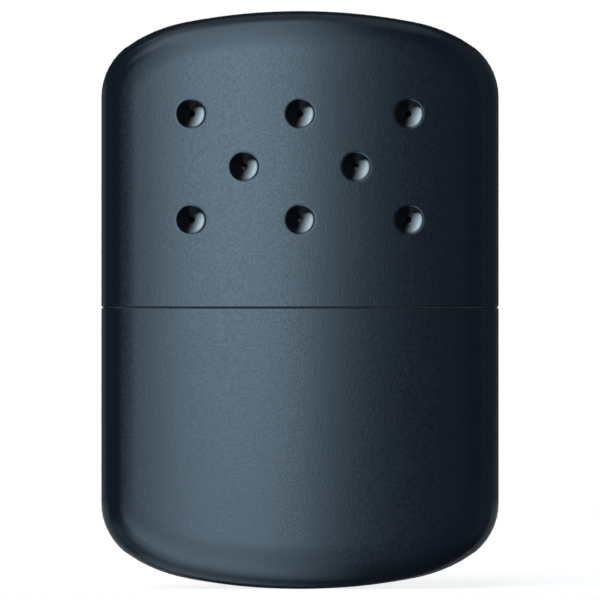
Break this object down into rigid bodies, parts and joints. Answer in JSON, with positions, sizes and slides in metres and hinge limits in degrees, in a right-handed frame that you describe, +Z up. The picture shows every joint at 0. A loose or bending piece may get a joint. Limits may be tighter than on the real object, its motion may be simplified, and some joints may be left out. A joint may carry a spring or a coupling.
{
  "type": "catalytic hand warmer",
  "caption": "Flat pocket-sized catalytic hand warmer: a rounded steel case split across the middle, with a vented lift-off lid over a push-on burner and a fuel tank.",
  "frame": {"origin": "lowest point of the case, on the middle of its rounded lower end", "axes": "+Z up along the length with the lid at the top, +X across the width, +Y from the front face to the back, through the thickness"},
  "size_m": [0.0682, 0.013, 0.099],
  "materials": {
    "black_paint": "satin black powder coat",
    "plated_steel": "bright plated",
    "burner_steel": "plain pressed sheet",
    "felt": "dense felt",
    "cotton": "loose cotton wool",
    "catalyst_fibre": "platinum-coated glass fibre"
  },
  "bodies": {
    "tank": {"tank_shell": "black_paint", "tank_cap": "black_paint", "filler_neck": "plated_steel", "neck_felt": "felt", "tank_packing": "cotton"},
    "lid": {"lid_shell": "black_paint"},
    "burner": {"burner_base": "burner_steel", "burner_cage": "burner_steel", "catalyst_mat": "catalyst_fibre", "burner_former": "burner_steel"}
  },
  "joints": [
    {"name": "lid_lift", "type": "slide", "parent": "tank", "child": "lid", "axis": [0, 0, 1], "range_m": [0, 0.045]},
    {"name": "burner_lift", "type": "slide", "parent": "tank", "child": "burner", "axis": [0, 0, 1], "range_m": [0, 0.018]}
  ]
}
